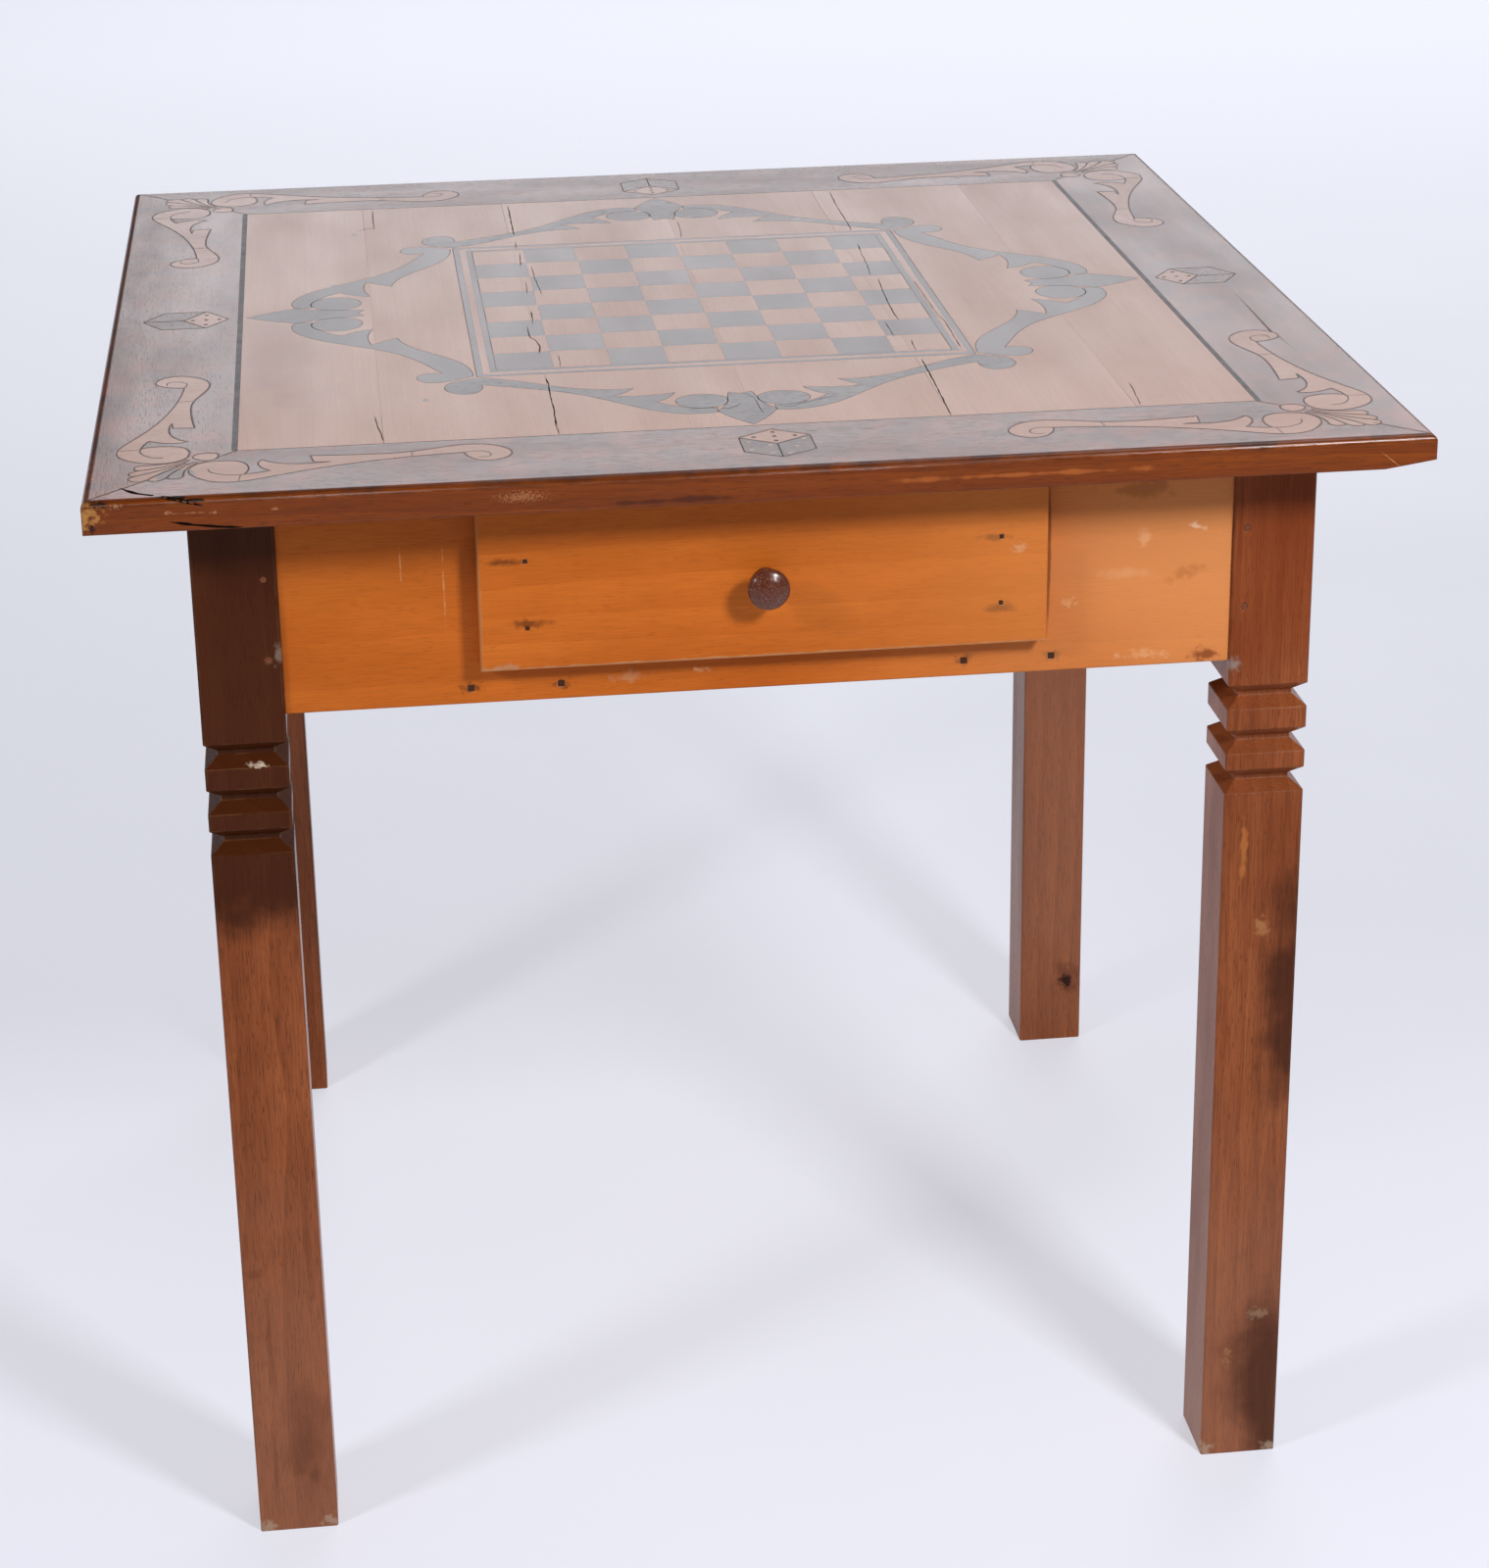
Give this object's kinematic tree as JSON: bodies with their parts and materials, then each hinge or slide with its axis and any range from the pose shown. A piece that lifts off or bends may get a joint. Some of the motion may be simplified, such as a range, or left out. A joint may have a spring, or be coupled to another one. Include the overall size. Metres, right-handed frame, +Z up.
{
  "type": "chess table",
  "caption": "Square wooden table with an inlaid chess board, scroll inlay in a mitred frame, carved leg necks and a drawer in the front apron.",
  "frame": {"origin": "on the floor, under the middle of the top", "axes": "+Z up, the drawer opens towards -Y, +X to the right of someone who faces the drawer"},
  "size_m": [0.815, 0.815, 0.75],
  "materials": {
    "field_wood": "waxed light hardwood",
    "frame_wood": "polished dark stained wood",
    "dark_inlay": "polished dark veneer",
    "light_inlay": "polished light veneer",
    "leg_wood": "polished reddish hardwood",
    "apron_wood": "varnished softwood",
    "inner_wood": "plain unfinished softwood",
    "peg_wood": "dark hardwood, cut flush",
    "knob_wood": "turned and polished dark wood",
    "iron": "dulled square cut iron"
  },
  "bodies": {
    "table": {"field_board_1": "field_wood", "field_board_2": "field_wood", "field_board_3": "field_wood", "field_board_4": "field_wood", "field_board_5": "field_wood", "field_board_6": "field_wood", "front_frame_rail": "frame_wood", "right_frame_rail": "frame_wood", "back_frame_rail": "frame_wood", "left_frame_rail": "frame_wood", "front_scroll_inlay": "dark_inlay", "right_scroll_inlay": "dark_inlay", "back_scroll_inlay": "dark_inlay", "left_scroll_inlay": "dark_inlay", "dark_squares": "dark_inlay", "outer_stringing": "dark_inlay", "inner_stringing": "dark_inlay", "die_faces": "dark_inlay", "front_left_corner_inlay": "light_inlay", "front_right_corner_inlay": "light_inlay", "back_right_corner_inlay": "light_inlay", "back_left_corner_inlay": "light_inlay", "light_stringing": "light_inlay", "die_tops": "light_inlay", "front_left_leg": "leg_wood", "front_right_leg": "leg_wood", "back_right_leg": "leg_wood", "back_left_leg": "leg_wood", "front_apron": "apron_wood", "right_apron": "apron_wood", "back_apron": "apron_wood", "left_apron": "apron_wood", "front_left_corner_block": "inner_wood", "front_right_corner_block": "inner_wood", "back_right_corner_block": "inner_wood", "back_left_corner_block": "inner_wood", "drawer_runner_left": "inner_wood", "drawer_runner_right": "inner_wood", "drawer_guide_left": "inner_wood", "drawer_guide_right": "inner_wood", "tenon_pegs": "peg_wood", "top_screws": "iron", "runner_nails": "iron"},
    "drawer": {"drawer_front": "apron_wood", "drawer_knob": "knob_wood", "drawer_nails": "iron", "drawer_side_left": "inner_wood", "drawer_side_right": "inner_wood", "drawer_back": "inner_wood", "drawer_bottom": "inner_wood"}
  },
  "joints": [
    {"name": "drawer_slide", "type": "slide", "parent": "table", "child": "drawer", "axis": [0, -1, 0], "range_m": [0, 0.3]}
  ]
}
